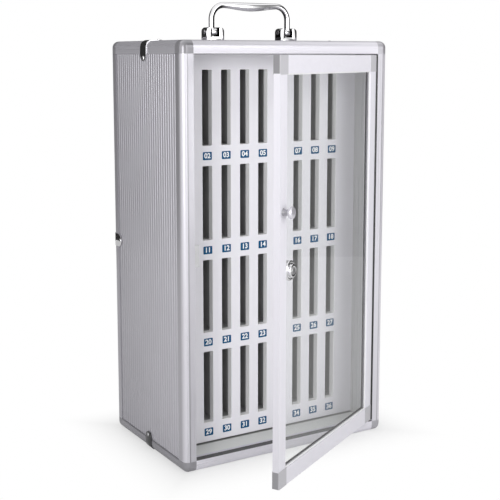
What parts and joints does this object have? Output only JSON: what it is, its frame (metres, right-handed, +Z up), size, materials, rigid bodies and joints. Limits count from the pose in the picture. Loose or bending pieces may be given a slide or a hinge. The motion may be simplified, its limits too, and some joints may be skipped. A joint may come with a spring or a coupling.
{
  "type": "cell phone locker box",
  "caption": "Upright aluminium-edged case with a glazed, lockable side-hinged door, a slotted panel for handsets inside and a folding carry handle on top.",
  "frame": {"origin": "middle of the case's base, on the surface that it stands on", "axes": "+X to the right as seen from the front, +Y to the back, +Z up; the door is on the -Y side and its hinge at +X"},
  "size_m": [0.2918, 0.3276, 0.547],
  "materials": {
    "edge_aluminium": "satin anodised",
    "corner_cap": "satin grey",
    "ribbed_sheet": "fine ribs, satin",
    "lining_board": "board faced with brushed metal foil",
    "floor_board": "board faced with smooth grey sheet",
    "bright_chrome": "polished",
    "slot_panel": "smooth matt",
    "label": "printed film",
    "inner_sheet": "smooth",
    "black_rubber": "matt",
    "plain_steel": "zinc plated",
    "clear_pane": "clear, polished"
  },
  "bodies": {
    "case": {"post_front_left": "edge_aluminium", "post_front_right": "edge_aluminium", "post_back_left": "edge_aluminium", "post_back_right": "edge_aluminium", "rail_top_front": "edge_aluminium", "rail_top_back": "edge_aluminium", "rail_top_left": "edge_aluminium", "rail_top_right": "edge_aluminium", "rail_bottom_front": "edge_aluminium", "rail_bottom_back": "edge_aluminium", "rail_bottom_left": "edge_aluminium", "rail_bottom_right": "edge_aluminium", "caps_top": "corner_cap", "caps_bottom": "corner_cap", "panel_left": "ribbed_sheet", "panel_right": "ribbed_sheet", "panel_back": "ribbed_sheet", "panel_top": "ribbed_sheet", "panel_bottom": "ribbed_sheet", "lining_left": "lining_board", "lining_right": "lining_board", "lining_back": "lining_board", "lining_top": "lining_board", "lining_floor": "floor_board", "edge_clips": "bright_chrome", "clip_rivets": "bright_chrome", "slot_strips": "slot_panel", "slot_bars": "slot_panel", "slot_labels": "label", "shelves": "inner_sheet", "dividers": "inner_sheet", "door_seal": "black_rubber", "hinge_leaf_case": "plain_steel", "hinge_pin": "plain_steel", "hinge_rivets_case": "plain_steel", "lock_catch": "plain_steel", "catch_screws": "plain_steel", "handle_brackets": "bright_chrome", "handle_pins": "plain_steel", "handle_plate": "plain_steel", "handle_screws": "plain_steel"},
    "door": {"hinge_leaf_door": "plain_steel", "hinge_rivets_door": "plain_steel", "door_stile_free": "edge_aluminium", "door_stile_hinge": "edge_aluminium", "door_rail_top": "edge_aluminium", "door_rail_bottom": "edge_aluminium", "door_caps": "corner_cap", "door_pane": "clear_pane", "door_bead": "black_rubber", "knob": "bright_chrome", "knob_screw": "plain_steel", "lock_body": "bright_chrome", "lock_nut": "plain_steel"},
    "lock": {"lock_plug": "plain_steel", "lock_cam": "plain_steel", "cam_screw": "plain_steel"},
    "handle": {"handle_bow": "bright_chrome"}
  },
  "joints": [
    {"name": "door_hinge", "type": "hinge", "parent": "case", "child": "door", "pos_m": [0.1268, -0.096, 0.25], "axis": [0, 0, 1], "range_deg": [-29.3, 130.7]},
    {"name": "lock_turn", "type": "hinge", "parent": "door", "child": "lock", "pos_m": [-0.07081, -0.20689, 0.254], "axis": [-0.4894, 0.8721, 0], "range_deg": [0, 90]},
    {"name": "handle_pivot", "type": "hinge", "parent": "case", "child": "handle", "pos_m": [0, -0.004, 0.511], "axis": [1, 0, 0], "range_deg": [-85, 85]}
  ]
}
